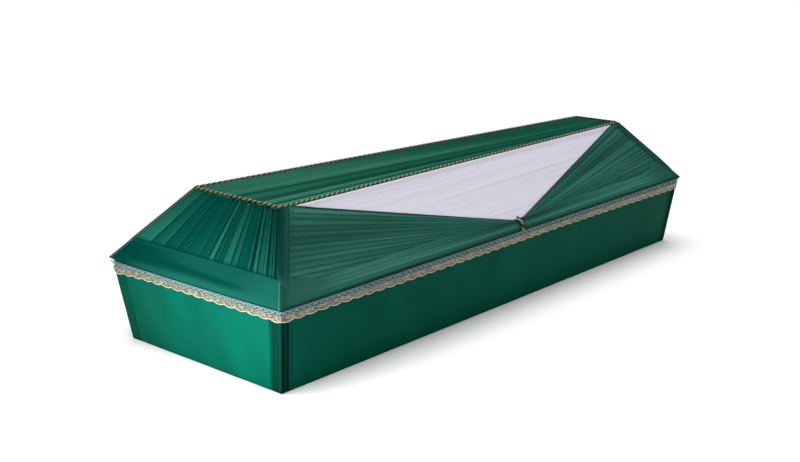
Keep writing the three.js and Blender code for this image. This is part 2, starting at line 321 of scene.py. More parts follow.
def satin(name, fold, dye, crest, crease, cloudy, **shader):
    """Dyed satin, with a painted shade colour in a fold, its dye's colour on a plain face and a
    painted highlight colour on a crest.

    Crease is the fine crease's size (across mm, along mm, depth mm) on the weave map, and cloudy is how
    much the colour drifts. Real threads are 0.1 mm apart, so the weave is drawn 2 mm coarse to show.
    """
    across, along, depth = crease
    material, tree = new_material(name)
    tone = add_node(tree, "Attribute", TONE).outputs["Fac"]
    cloud = add_node(tree, "TexNoise", Vector=pattern_space(tree, 3 * across, 3 * along),
                     Scale=1, Detail=3)
    clouds = add_node(tree, "Math", {"operation": "MULTIPLY"}, _0=cloud, _1=cloudy)
    level = add_node(tree, "Math", TIMES_PLUS, _0=tone, _1=1 - cloudy, _2=clouds)
    low = 0.5 * cloudy
    # The ramp runs from the fold colour, a painted shade, through the dye to the crest colour, a painted
    # highlight
    colour = ramp(tree, level, (low, fold), (0.5, dye), (1 - low, crest))
    creases = add_node(tree, "TexNoise", Vector=pattern_space(tree, across, along),
                       Scale=1, Detail=4, Roughness=0.6)
    threads = add_node(tree, "TexWave", {"bands_direction": "X"},
                       Vector=pattern_space(tree, 2, 2), Scale=0.3, Distortion=0.6)
    coarse = add_node(tree, "Bump", Height=creases, Strength=1, Distance=depth * MM)
    fine = add_node(tree, "Bump", Height=threads, Strength=0.15, Distance=0.1 * MM, Normal=coarse)
    set_shader(tree, Base_Color=colour, Normal=fine, IOR=1.45, **shader)
    return material


def green_satin(use, roughness, *look):
    # The dye colours even the gloss, because light passes through the outer threads twice
    return satin(f"green satin {use}", *look, Roughness=roughness, Specular_Tint=linear("#7df5d8"),
                 Specular_IOR_Level=0.02)


# These are one green satin, copied with colours that paint how each part is lit: the hem and hip strip
# copies are painted darker, as painted shade, the draped and top copies greyer, as painted sheen, and the
# pleated copy's crest greyer, as painted sheen.
stretched_satin = green_satin("stretched", 0.5, "#001d18", "#00503f", "#007a64", (45, 60, 0.5), 0.14)
hem_satin_painted_darker = green_satin("hem", 0.45, "#00241f", "#013f36", "#13574b", (260, 7, 0.3), 0.12)
pleated_satin = green_satin("pleated", 0.42, "#00201b", "#044c42", "#2a7160", (3.2, 90, 0.3), 0.15)
draped_satin_painted_sheen = green_satin("draped", 0.45, "#0c332b", "#28584d", "#478375", (120, 3.2, 0.3), 0.2)
strip_satin_painted_darker = green_satin("strip", 0.45, "#052b25", "#123f37", "#2f6556", (4, 100, 0.4), 0.2)
top_satin_painted_sheen = green_satin("top", 0.42, "#052f26", "#144d3d", "#3c7964", (200, 4, 0.4), 0.2)
white_satin = satin("white satin", "#c6c3d3", "#d5d2e0", "#e2dfea", (260, 6, 0.25), 0.25,
                    Roughness=0.55, Sheen_Weight=0.1, Sheen_Roughness=0.5)
print("satins made")

# %% [markdown]
# ## Board
# Kraft board is brown paper over corrugated paper, and shows only on the inside and the underside. The
# flutes press through the liner as faint ridges 7 mm apart, and fibres speckle it.

# %% Kraft board
kraft_board, tree = new_material("kraft board")
where = add_node(tree, "TexCoord").outputs["Object"]
fibres = add_node(tree, "TexNoise", Vector=where, Scale=400, Detail=6)
colour = ramp(tree, fibres, (0.3, "#9c7648"), (0.7, "#b98f5f"))
flutes = add_node(tree, "TexWave", {"bands_direction": "X"}, Vector=where,
                  Scale=0.05 / (7 * MM), Distortion=0.3)
bump = add_node(tree, "Bump", Height=flutes, Strength=0.4, Distance=0.4 * MM)
set_shader(tree, Base_Color=colour, Normal=bump, Roughness=0.9, IOR=1.45)
for name in ("tray_board", "lid_board"):
    finishes = bpy.data.objects[name].data.materials
    finishes.clear()
    finishes.append(kraft_board)
print("board finished")

# %% [markdown]
# ## Cord and lace yarns
# The cord has one ply of gold metallised thread and one of black. The lace is pale polyester yarn with
# a gold band. Each yarn has its own fine twist, drawn as slanted bands.

# %% Yarns
def yarn(name, dark, light, twist_mm, **shader):
    """A yarn's colour runs from dark to light across its twist, and shifts with the tone."""
    material, tree = new_material(name)
    tone = add_node(tree, "Attribute", TONE).outputs["Fac"]
    bands = add_node(tree, "TexWave", {"bands_direction": "DIAGONAL"},
                     Vector=pattern_space(tree, twist_mm, twist_mm), Scale=0.3, Distortion=1)
    half = add_node(tree, "Math", {"operation": "MULTIPLY"}, _0=bands, _1=0.4)
    level = add_node(tree, "Math", TIMES_PLUS, _0=tone, _1=0.6, _2=half)
    colour = ramp(tree, level, (0.2, dark), (0.8, light))
    bump = add_node(tree, "Bump", Height=bands, Strength=0.6, Distance=0.3 * MM)
    set_shader(tree, Base_Color=colour, Normal=bump, **shader)
    return material


gold_ply = yarn("gold metallised thread", "#6b6741", "#c0b78a", 2, Roughness=0.42, Metallic=0.15)
black_ply = yarn("black polyester thread", "#040605", "#0d1411", 2, Roughness=0.5)
pale_yarn = yarn("pale lace yarn", "#6c969c", "#bcd6da", 2.5, Roughness=0.6)
edge_yarn = yarn("pale scallop yarn", "#a3c2b8", "#dcebe5", 2.5, Roughness=0.6)
# The woven gold band has olive, gold and rose threads in flowers about 8 mm wide
gold_yarn, tree = new_material("gold brocade band")
tone = add_node(tree, "Attribute", TONE).outputs["Fac"]
threads = add_node(tree, "TexNoise", Vector=pattern_space(tree, 6, 15), Scale=1, Detail=5,
                   Roughness=0.7)
relief = add_node(tree, "Math", TIMES_PLUS, _0=tone, _1=0.4, _2=-0.85)
level = add_node(tree, "Math", TIMES_PLUS, _0=threads, _1=2.7, _2=relief)
colour = ramp(tree, level, (0.4, "#3e4334"), (0.6, "#707058"), (0.78, "#8d806d"), (1, "#c2b07c"))
bump = add_node(tree, "Bump", Height=threads, Strength=0.7, Distance=0.6 * MM)
set_shader(tree, Base_Color=colour, Normal=bump, Roughness=0.5, Metallic=0.1)
print("yarns made")

# %% [markdown]
# ## Knife pleats
# A knife pleat is a fold laid over to one side. Each rises gently from under the last fold to its own
# edge, then tucks back under the edge. One function gives the stations across a row of pleats, and
# every pleated cloth uses it with its own widths, heights and tones.

# %% Pleat stations
FACE = np.array([0.03, 0.15, 0.32, 0.5, 0.66, 0.8, 0.9, 0.96, 1])
FALL = np.array([0.15, 0.4, 0.65, 0.88])
# Where a tucked fold turns back under its edge, and how proud it is there, as shares
TUCK_BACK = np.array([0.01, 0, 0.01, 0.03])
TUCK = np.array([0.96, 0.8, 0.6, 0.3])


def pleat_row(pleats, low):
    """Places from 0 to 1 across a row of pleats, how proud the cloth is at each, and how bright it is
    painted.

    A pleat is (width mm, crest mm, rise, and in percent fold, first tone, last tone). A rise above 1
    keeps its face flat for longer. Fold is the part of the width where it falls back, and 0 tucks it
    under its edge.
    """
    edges = np.cumsum([0, *(pleat[0] for pleat in pleats)])
    edges = edges / edges[-1]
    at, proud, tone = [], [], []
    for start, stop, (_, crest, rise, *shares) in zip(edges[:-1], edges[1:], pleats):
        fold, first, last = np.array(shares) / 100
        width = stop - start
        high = crest * MM
        face_tones = mix(first, last, FACE)
        # A soft fold is painted darker down its fall. Where a pleat tucks under instead, its edge gets a
        # painted highlight and the tuck a painted shadow; a low pleat gets a brighter painted highlight
        # and little painted shadow.
        shade, edge_light = (0.1, 0.12) if crest > -1.1 else (0.8 * last, 0.22)
        proud += [low, *mix(low, high, FACE ** rise)]
        if fold:
            at += [start, *(start + width * (1 - fold) * FACE), *(stop - width * fold * (1 - FALL))]
            proud += [*mix(high, low, FALL * FALL * (3 - 2 * FALL))]
            tone += [0.5 * first, *face_tones, *mix(last, 0.35 * last, FALL)]
        else:
            at += [start - 0.06 * width, *(start + width * FACE * 0.97), *(stop - width * TUCK_BACK)]
            proud += [*mix(low, high, TUCK)]
            tone += [0.7 * first, 0.85 * first, *face_tones[1:-1], last + edge_light, last + edge_light,
                     mix(last, shade, 0.7), shade, shade]
    return np.clip(at, 0, 1), np.array(proud), np.array(tone)


def pleat_column(pleats, low):
    """The same as columns, for pleats that lie one below another."""
    return [values[:, None] for values in pleat_row(pleats, low)]


# %% [markdown]
# ## The tray's cloth
# One length of satin is stretched round the flared tray and folded into upright pleats beside each
# corner, where the spare width goes. The grid runs right round, with close columns only at the folds.

# %% Tray cloth
CORNER_ZONE = 0.075
TRAY_ROWS = np.r_[0.001, 0.0022, 0.0045, np.linspace(0.008, 0.218, 20), 0.2235, 0.225]
# Folded strips beside a corner: the edge's distance from the corner in mm, how proud in mm, and the
# tone that paints the strip's light and shade
END_FOLDS = ((11, 2.4, 0.35), (13, 1, 0.12), (30, 1.6, 0.25), (32.5, 0.8, 0.15), (38, 1.6, 0.4),
             (41, 0, 0.15))
SIDE_FOLDS = ((11, 0.4, 0), (14, 2, 0.32), (27, 0.6, 0.04), (30.5, 1.6, 0.48), (42, 0.6, 0.36))
rng = np.random.default_rng(17)
# Long soft waves in the stretched cloth, as (length, height in mm), and streaks of painted light and shade
WALL_WAVES = ((0.37, 0.9), (0.21, 0.5), (0.11, 0.16))
WALL_STREAKS = ((0.29, 0.03), (0.13, 0.015))


def tray_corners(z, depth):
    """The four corners of the tray's outline at height z, depth behind the finished face."""
    share = z / TRAY_HEIGHT
    corners = []
    for end, hand in CORNERS:
        x = end * (LENGTH / 2 - mix(END_FOOTING[end], TRAY_TOP_INSET, share) - depth)
        y = hand * (half_width(x) - mix(SIDE_FOOTING, TRAY_TOP_INSET, share) - depth)
        corners.append(points(x, y, z))
    return corners


def fold_steps(distance, folds):
    """How proud the strips beside a corner are, and how bright they are painted, at distances in metres.
    """
    edges = [0]
    proud, tone = [folds[0][1]], [folds[0][2]]
    for (edge, _, _), (_, next_proud, next_tone) in zip(folds, (*folds[1:], (0, 0, 0.5))):
        edges += [edge - 0.5, edge + 0.5]
        proud += [proud[-1], next_proud]
        tone += [tone[-1], next_tone]
    return np.interp(distance / MM, edges, proud) * MM, np.interp(distance / MM, edges, tone)


def ripples(stations, waves):
    """The sum of (length, height) waves, each started at a random place."""
    return sum(tall * arch(2 * (stations / wave + rng.uniform())) for wave, tall in waves)


def tray_wall(i):
    """Face points and tones of one wall, as a grid of heights by stations, without the last corner."""
    top = tray_corners(TRAY_HEIGHT, 0)
    length = np.linalg.norm(top[(i + 1) % 4] - top[i])
    near = np.r_[0, 0.0006, 0.0014, 0.0026, np.arange(0.004, CORNER_ZONE, 0.0009)]
    middle = np.linspace(CORNER_ZONE, length - CORNER_ZONE, int(length / 0.012))
    stations = np.r_[near, middle, length - near[:0:-1]]
    walked = stations / length
    from_corner = np.minimum(stations, length - stations)
    # The ends have deeper waves and stronger painted streaks of light and shade than the long sides
    folds, zone, loose = ((END_FOLDS, (0.04, 0.05), 1), (SIDE_FOLDS, (0.042, 0.07), 0.35))[i % 2]
    relief, fold_tone = fold_steps(from_corner, folds)
    plain = ease(from_corner, *zone)
    waves = loose * MM * ripples(stations, WALL_WAVES)
    streaks = loose * ripples(stations, WALL_STREAKS)
    # Painted light: the head end is painted brightest beside the near corner, with its folds painted
    # lighter on the far half, and the sides are painted nearly even
    face_tone = 0.46 + 0.05 * arch(walked)
    if i == 0:
        fold_tone = mix(fold_tone, 0.5, 0.8 * (walked < 0.5))
        face_tone = ease(walked, 0, 0.95, 0.62, 0.76)
    z = TRAY_ROWS[:, None]
    up = z / TRAY_HEIGHT
    sway = 0.35 * MM * arch(2 * (stations / 0.23 + 0.5 * up)) * arch(up)
    pinch = 1 - 0.7 * ease(up, 0.8, 0.9)
    proud = 0.3 * MM + relief * pinch + plain * (waves * (0.35 + 0.65 * up) + sway + 0.9 * MM)
    corners = tray_corners(z, 1.3 * MM * np.exp(-from_corner / (1.4 * MM)) - proud)
    # Soft diagonal bands of painted light and shade run across the walls
    flow = 0.025 * loose * arch(2 * (stations / 0.17 + 0.9 * up))
    # A painted shadow darkens the lowest few millimetres of cloth, along the floor
    tones = mix(fold_tone, face_tone + streaks + flow, plain) * ease(z, -0.002, 0.006)
    return mix(corners[i], corners[(i + 1) % 4], walked[:, None]), tones


walls = [tray_wall(i) for i in range(4)]
tray_face, tray_tone = (np.hstack(grids) for grids in zip(*walls))
tray_back = tray_face * (1 - CLOTH, 1 - 2 * CLOTH, 1)
tray_satin = piece("tray_satin", [shell(tray_face, tray_back, tray_tone, wrap=True)], [stretched_satin],
                   ["tray_cloth"])

# %% [markdown]
# ## The pleated ends
# Each end slope's cloth is pleated so that the folds fan out from the flat top to the rim. The head's
# pleats are as wide as the photograph shows them. A padded hem band covers their lower ends and turns
# under the rim.

# %% End pleats
STRIP_ON_END = 13 * MM
STRIP_ON_SIDE = 28 * MM
# Along the hem from the far hip to the near one. The tones paint each pleat's light and shade.
HEAD_PLEATS = (
    (64, -1.2, 1, 0, 76, 84), (58, -1.2, 1.3, 0, 46, 66), (55, -1.4, 4, 0, 40, 50),
    (41, -1.6, 4, 0, 34, 46), (55, -1.2, 5, 0, 44, 52), (33, -1.4, 3, 0, 45, 48), (8, 0, 1, 0, 50, 60),
    (21, 0.8, 0.8, 20, 85, 95), (16, -1.2, 2.5, 0, 45, 58), (20, -1.4, 2, 0, 48, 42),
    (34, 0.8, 0.9, 20, 68, 78), (22, -0.6, 2.2, 0, 58, 66), (39, -1, 2.4, 0, 46, 36),
    (13, 1.6, 0.9, 0, 62, 68), (10, -0.8, 1.5, 0, 30, 30), (17, 1.8, 0.8, 15, 75, 82),
    (21, -0.2, 2, 0, 58, 64), (13, 1.6, 0.9, 0, 70, 76), (9, -0.8, 1.5, 0, 40, 30),
    (11, 0.8, 1, 0, 58, 60), (11, 1, 1, 0, 60, 64), (11, -1.2, 1.5, 0, 20, 20), (8, 1.2, 0.9, 0, 66, 74))
FOOT_PLEATS = (
    (34, 1, 1.5, 0, 80, 90), (38, 0.2, 2.5, 0, 45, 50), (30, 0.8, 1.2, 20, 70, 80),
    (42, 0.4, 2, 0, 40, 50), (36, -0.6, 3, 0, 35, 45), (26, 1.2, 1.2, 0, 80, 90),
    (34, -0.2, 2.2, 30, 40, 50), (40, 0.8, 1.4, 0, 60, 70), (24, 0.2, 1.2, 0, 40, 40),
    (33, -0.4, 2, 20, 60, 60), (28, 0.9, 1.3, 0, 80, 90), (30, 0.4, 1.8, 0, 50, 60))


def end_pleats(end, pleats):
    low = -3.4 * MM
    at, proud, tone = pleat_row(pleats, low)
    climb = np.r_[HEM_CLIMB - 0.03, HEM_CLIMB, np.linspace(HEM_CLIMB + 0.02, TOP_CLIMB, 24)][:, None]
    squeeze = ease(climb, HEM_CLIMB, HEM_CLIMB + 0.09, 0.45, 1) * ease(climb, 0.6, TOP_CLIMB, 1, 0.7)
    height = low + (proud - low) * squeeze
    at_edge = ease(np.minimum(at, 1 - at), 0, 0.03, 1, 0)
    height = mix(height, np.maximum(height, -0.6 * MM), at_edge)
    # Low on the slope the folds stand open and their painted light and shade is strongest; a painted
    # shadow lies along the hem, and painted shade under the cord at the top
    open_share = ease(climb, 0.45, 0.9, 1, 0.6)
    shadow = ease(climb, HEM_CLIMB - 0.005, HEM_CLIMB + 0.03, 0.25, 1)
    painted_shade_under_cord = ease(TOP_CLIMB - climb, 0, 0.02, 0.1, 1)

    def place(extra):
        reach = hip_y(end, climb, height + extra) - STRIP_ON_END + 5 * MM
        return on_end(end, reach * (1 - 2 * at), climb, height + extra)

    return cloth(place, mix(0.45, tone, open_share) * shadow * painted_shade_under_cord)


head_pleats = piece("head_satin_pleats", [end_pleats(HEAD, HEAD_PLEATS)], [pleated_satin],
                    ["head_pleats"])
foot_pleats = piece("foot_satin_pleats", [end_pleats(FOOT, FOOT_PLEATS)], [pleated_satin],
                    ["foot_pleats"])

# %% Hem bands
# The band's lower lip hangs this far below the rim
HEM_SAG = 5 * MM


def rim_rows(values):
    """Columns of (value, inset, drop): down a slope first, then where the cloth turns under the rim."""
    rows = [(value, 0, 0) for value in values] + [(0, *turn) for turn in UNDER_RIM]
    return np.array(rows).T[:, :, None]


def end_dip(walked):
    """How low the head's hem and lace hang, from 1 at the far corner to 0 at the near one."""
    return np.cos(np.pi / 2 * walked ** 2)


def hem_band(end):
    share, inset, drop = rim_rows([1, *np.linspace(0.985, 0.02, 22), 0])
    climb = HEM_CLIMB * share
    across = np.r_[-1, -0.998, np.linspace(-0.99, 0.99, 90), 0.998, 1]
    inside = ease(1 - np.abs(across), 0, 0.03)
    # 0 at the dim far end of the head's band and 1 at its bright near end, where the lip hangs least
    near = (1 - across) / 2 if end == HEAD else np.full_like(across, 0.5)
    hang = end_dip(near) * ease(near, 0, 0.05) if end == HEAD else np.cos(np.pi / 2 * across)
    pad = 3 * MM * arch(share ** 0.8)
    lift = np.where(drop < 0, 0.5 * MM, mix(0.9 * MM, 1.1 * MM + pad, inside))
    lift = lift + 0.5 * MM * inside * np.sin(9 * across + 5 * share) * share
    lift = lift + 0.35 * MM * inside * np.sin(23 * across - 4 * share) * arch(share)
    # A band of painted shade runs along the hem, low and narrow towards the near end
    painted_shade_band = bell(share, mix(0.45, 0.27, near), ease(near, 0, 0.6, 0.3, 0.13))
    painted_shade_band = painted_shade_band * ease(near, 0.1, 0.6, 0.12, 0.33) * ease(near, 0.66, 0.9, 1, 0)
    # Painted highlights lie along the lower lip and along the upper edge, and the band is painted lighter
    # towards the near end
    rim_light = 0.35 * bell(share, 0.08, 0.12) * ease(near, 0.05, 0.2) * ease(near, 0.8, 0.95, 1, 0)
    top_line = 0.25 * bell(share, 0.93, 0.04) * (1 - near)
    lit = ease(near, 0.1, 0.55, 0.5, 0.74) + 0.2 * ease(near, 0.75, 0.95)
    # Painted shadow lies under the rim and along the upper edge
    shadow = np.where(share > 0, np.where(share < 1, 1, 0.4), 0.2)
    tones = (lit - painted_shade_band + rim_light + top_line) * shadow
    sag = HEM_SAG * hang * ease(share, 0, 0.3, 1, 0) * (inset < UNDER_RIM[-1][0])

    def place(extra):
        reach = hip_y(end, climb, lift + extra) - inset - CORNER_LAP + 1.5 * MM
        return on_end(end, reach * across, climb, lift + extra, inset, drop - extra * (drop < 0) - sag)

    return cloth(place, tones)


head_hem = piece("head_satin_hem", [hem_band(HEAD)], [hem_satin_painted_darker], ["head_hem_band"])
foot_hem = piece("foot_satin_hem", [hem_band(FOOT)], [hem_satin_painted_darker], ["foot_hem_band"])

# %% [markdown]
# ## The hip strips
# Where two slopes meet, a folded strip of the same satin covers the raw edges of the cloths. It is one
# section carried along the hip: a leg on the side slope, a rounded corner and a leg on the end.

# %% Hip strips
# Along a leg of the strip: the reach from the hip, how proud in mm, and the tone, which paints its light
# and shade
STRIP_LEG = np.array((
    (1, -1.5, 0.55), (0.97, -0.6, 0.6), (0.9, 0.5, 0.6), (0.78, 1.1, 0.58), (0.62, 1.4, 0.65),
    (0.45, 1.2, 0.55), (0.3, 1.6, 0.5), (0.15, 1.5, 0.4), (0.06, 1.3, 0.35), (0, 0.8, 0.3)))


def hip_strip(end, hand):
    # The leg on the side runs in to the hip, and the leg on the end runs out again
    reach, stand, tone = np.concatenate([STRIP_LEG, STRIP_LEG[-2::-1]]).T
    on_side_leg = np.arange(len(reach)) < len(STRIP_LEG)
    share = np.linspace(0, 1, 40)[:, None]
    # The foot's strips reach nearly to the rim
    low_tip = 0.24 if end == HEAD else 0.13
    lowest = mix(low_tip, np.where(on_side_leg, low_tip - 0.07, HEM_CLIMB + 0.002), reach)
    climb = mix(lowest, TOP_CLIMB, share)
    ridge = 0.4 * MM * np.cos(reach * 11 + 2 * share) * (1 - reach) * np.minimum(1, 5 * reach)
    stand = np.where(on_side_leg, stand, np.maximum(stand, -0.3))
    if end == FOOT:
        stand = stand + 1.8 * (1 - reach) * np.minimum(1, 4 * share)
    proud = ease(share, 0, 0.06, 0.3 * MM, stand * MM + ridge)

    def place(extra):
        height = proud + extra
        x = hip_x(end, climb, height) - end * reach * STRIP_ON_SIDE
        y = hand * (hip_y(end, climb, height) - reach * STRIP_ON_END)
        side = on_side(hand, x, climb, height)
        return np.where(on_side_leg[:, None], side, on_end(end, y, climb, height))

    # On the end the near hips' strips are painted dark, as painted shade, and the far ones painted light
    tone = np.where(on_side_leg, tone, 0.2 if hand == RIGHT else 0.9)
    return cloth(place, ease(share, -0.02, 0.16, 0.72, tone))


for end, end_name in ENDS:
    for hand, hand_name in HANDS:
        name = f"{end_name}_{hand_name}"
        piece(f"{name}_hip_strip", [hip_strip(end, hand)], [strip_satin_painted_darker],
                                [f"{name}_corner_strip"])

# %% [markdown]
# ## The white panels
# White satin covers each long slope, in soft pleats that run the lid's length and drift a little
# downhill. It shows only in the triangle that the swags leave open.

# %% White panels
WHITE_WIDTHS = (15, 26, 12, 19, 30, 14, 22, 11, 27, 18, 13, 24)


def white_panel(hand):
    pleats = [(width, -3.6 + 0.3 * math.sin(3 * k), 1, 50, 55 + 15 * math.sin(5 * k), 55)
              for k, width in enumerate(WHITE_WIDTHS)]
    at, proud, tone = pleat_column(pleats, -4.2 * MM)
    share = np.linspace(0, 1, 90)
    slant = 0.16 * (share - 0.5)
    climb = mix(0.10, 1, np.clip(at + slant * arch(at), 0, 1))
    fade = 0.5 + 0.5 * np.sin(9 * share + 14 * at)
    height = mix(-3.9 * MM, proud, 0.35 + 0.65 * fade)
    height = ease(climb, 0.93, 0.99, height, -0.8 * MM)
    # The top corners draw in, so that they stay under the wings
    tuck = STRIP_ON_SIDE - 8 * MM + 12 * MM * ease(climb, 0.92, 1)

    def place(extra):
        head = hip_x(HEAD, climb, height + extra) + tuck
        foot = hip_x(FOOT, climb, height + extra) - tuck
        return on_side(hand, mix(head, foot, share), climb, height + extra)

    # The pleats' light and shade is painted into the tone, and the panel is painted lighter towards the
    # head and darker towards the foot
    return cloth(place, mix(0.5, tone, 0.4 + 0.6 * fade) + 0.12 * (0.5 - share))


for hand, name in HANDS:
    piece(f"{name}_white_satin", [white_panel(hand)], [white_satin],
                               [f"{name}_white_panel"])

# %% [markdown]
# ## The swags
# A swag is one cloth drawn together at a point. This one hangs from a long slope's two top corners and
# is tied near the middle of the rim, so that a wing of fine folds fans out to each hip strip. The spare
# cloth gathers into a smooth roll along the rim, which turns under it.

# %% Swag wings
TIE_X = 32 * MM
CORD_X = TIE_X - 12 * MM
TIE_HALF = 28 * MM
TIE_CLIMB = 0.155
# Where the upper edge of each wing leaves the top edge
SWAG_X = {HEAD: -0.789, FOOT: 0.785}


def wing_edge(end, across):
    """Where each fold starts: along the top edge first, then down beside the hip strip."""
    tuck = STRIP_ON_SIDE - 6 * MM
    corner = hip_x(end, TOP_CLIMB) - end * tuck
    lowest = 0.15
    on_top = abs(corner - SWAG_X[end])
    total = on_top + (TOP_CLIMB - lowest) * SLOPE_LENGTH
    walked = across * total
    climb = TOP_CLIMB - np.maximum(walked - on_top, 0) / SLOPE_LENGTH
    x = np.where(walked < on_top, SWAG_X[end] + end * walked, hip_x(end, climb) - end * tuck)
    return x, climb


def wing(end, hand, pleats):
    low = -2.6 * MM
    at, proud, tone = pleat_column(pleats, low)
    share = np.r_[np.linspace(0, 0.9, 64), np.linspace(0.915, 1, 10)]
    start_x, start_climb = wing_edge(end, at)
    run = np.minimum(share / 0.93, 1)
    last = np.maximum(share - 0.93, 0) / 0.07
    x = mix(mix(start_x, TIE_X + end * TIE_HALF, run), TIE_X, last)
    climb = mix(start_climb, mix(TIE_CLIMB, 0.03, at), run)
    bundle = 4.6 * MM * ease(share, 0.62, 0.93) * arch(np.sqrt(at))
    relief = (proud - low) * mix(1, 0.3, run) * ease(share, 0, 0.05, 0.55, 1)
    height = low + relief + bundle - 1.8 * MM * ease(share, 0.97, 1)
    # The wing rises to the cord, over the white cloth's top edge
    height = ease(climb, 0.92, 0.97, height, np.maximum(height, -0.3 * MM))
    gathered = ease(share, 0.45, 1)
    drift = 0.06 * np.sin(7 * share + 9 * at)
    # The folds' tones paint their light and shade; they even out where the cloth gathers, and the wing is
    # painted darker where it comes out from under the hip strip
    tones = mix(tone, 0.47, 0.45 + 0.4 * gathered) + drift * (1 - gathered)
    return cloth(lambda extra: on_side(hand, x, climb, height + extra),
                 tones * ease(share, 0, 0.03, 0.75, 1))


# %% Rim roll
# The lap on the end is painted light beside the hem band and painted dark, as shade, beside the hip
LAP_SHARES = np.array([1, 0.6, 0.25, 0.06])
LAP_TONES = [1, 0.7, 0.1, 0.1]
# The roll's upper edge: places from head to foot, and its climb there
UPPER_PLACES = [-1, -0.86, -0.35, 0, 0.06, 0.35, 0.8, 1]
UPPER_CLIMBS = [0.31, 0.2, 0.205, 0.155, 0.155, 0.19, 0.2, 0.31]
# Creases along the roll: place up the roll, width, height in mm
ROLL_CREASES = ((0.86, 0.05, 1.2), (0.66, 0.05, 1), (0.42, 0.06, 1), (0.2, 0.05, 0.7))


def rim_roll(hand):
    x_mid = np.r_[np.linspace(-1, 0, 110), np.linspace(0, 0.06, 16)[1:], np.linspace(0.06, 1, 100)[1:]]
    row, inset, drop = rim_rows([1, 0.985, *np.linspace(0.95, 0.03, 26), 0])
    climb = row * np.interp(x_mid, UPPER_PLACES, UPPER_CLIMBS)
    full = ease(1 - np.abs(x_mid), 0, 0.3)
    near_tie = bell(x_mid, TIE_X, 0.4)
    tie = bell(x_mid, CORD_X, 0.02)
    bulge = arch(row ** 0.75)
    lift = full * (0.6 + 4.6 * bulge) * MM * (row > 0)
    # The roll's light and shade is painted: a highlight along its middle and on each crease, shade near
    # the tie and below each crease, and a painted shadow along its lower edge under the rim, at the cord
    # and at the hips
    tone = 0.36 + 0.12 * full + 0.15 * full * bell(row, 0.4, 0.2) + 0.22 * near_tie * bell(row, 0.36, 0.1)
    tone = tone - near_tie * (0.14 + 0.3 * bell(row, 0.74, 0.2))
    tone = tone + 0.16 * full * (1 - near_tie) * bell(row, 0.75, 0.35)
    for line, wide, tall in ROLL_CREASES:
        place = line - 0.3 * (1 - np.abs(x_mid)) * line
        crest = full * bell(row, place, wide) * (row > 0)
        lift = lift + tall * MM * crest
        tone = tone + 0.07 * crest - 0.1 * full * bell(row, place - 1.8 * wide, 0.6 * wide)
    lift = lift - 1.9 * MM * ease(row, 0.86, 1) * full
    lift = lift + 2.6 * MM * bulge * bell(x_mid, TIE_X, 0.06) - 3 * MM * tie * bulge
    tone = tone * ease(row, 0.03, 0.14, 0.05, 1) * (1 - 0.6 * tie)
    tone = tone * ease(1 - np.abs(x_mid), 0, 0.035, 0.35, 1)

    def spots(extra):
        turn = inset, drop - extra * (drop < 0)
        head = hip_x(HEAD, climb, lift + extra) + inset
        foot = hip_x(FOOT, climb, lift + extra) - inset
        side = on_side(hand, mix(head, foot, (x_mid + 1) / 2), climb, lift + extra, *turn)
        laps = []
        for end, hip in ((HEAD, climb[:, :1]), (FOOT, climb[:, -1:])):
            reach = hip_y(end, hip, extra) - inset - CORNER_LAP * LAP_SHARES
            laps.append(on_end(end, hand * reach, hip, extra, *turn))
        return np.hstack([laps[0], side, laps[1][:, ::-1]])

    lap_tone = np.tile(LAP_TONES, (len(row), 1))
    return cloth(spots, np.hstack([lap_tone, tone, lap_tone[:, ::-1]]))


# From the upper edge down, with each width measured at the hip strip
HEAD_WING = (
    (11, -0.2, 0.6, 0, 35, 45), (9, -1.6, 1.2, 40, 25, 30), (17, -0.5, 1.2, 35, 70, 90),
    (16, -1.2, 1, 50, 55, 50), (18, -0.7, 1.4, 35, 50, 60), (14, -1.5, 1, 50, 20, 30),
    (16, -1.1, 1.2, 40, 38, 45), (19, -1.4, 1.6, 30, 15, 35), (15, -0.9, 1.1, 50, 50, 60),
    (17, -1.2, 1.2, 40, 38, 48), (16, -0.9, 1, 50, 52, 60), (18, -1.2, 1.5, 35, 35, 45),
    (16, -0.9, 1.2, 40, 52, 60), (17, -1.1, 1, 50, 45, 55), (16, -1.2, 1.3, 40, 48, 52))
FOOT_WING = (
    (10, 0.2, 0.6, 0, 20, 35), (12, 0.2, 0.8, 30, 50, 65), (10, -0.4, 1.2, 30, 40, 55),
    (8, -1.8, 1.6, 30, 10, 20), (14, -0.4, 1, 25, 50, 65), (12, -1, 1.2, 30, 35, 50),
    (22, -1.6, 2.2, 20, 10, 20), (26, 0.2, 0.8, 15, 60, 75), (20, -0.2, 0.9, 20, 50, 65),
    (11, -0.8, 1.2, 30, 45, 55), (11, -0.6, 1.2, 30, 45, 50), (12, -0.9, 1.4, 30, 35, 45),
    (15, -0.6, 1.2, 30, 40, 50), (20, -0.9, 1.4, 30, 25, 35), (28, -0.9, 1, 30, 20, 25))
for hand, name in HANDS:
    parts = [wing(HEAD, hand, HEAD_WING), wing(FOOT, hand, FOOT_WING), rim_roll(hand)]
    piece(f"{name}_satin_swag", parts, [draped_satin_painted_sheen], [f"{name}_swag"])

# %% [markdown]
# ## The flat top
# The top is covered by one more satin cloth in soft lengthwise pleats. Its edges run under the cord.

# %% Top cloth
TOP_FACE = 0.4319
TOP_END_INSET = 0.1665
TOP_SIDE_INSET = 0.170
# The wadding under the cloth lies on the board, so the piece is closed down to here
TOP_UNDERSIDE = 0.4256
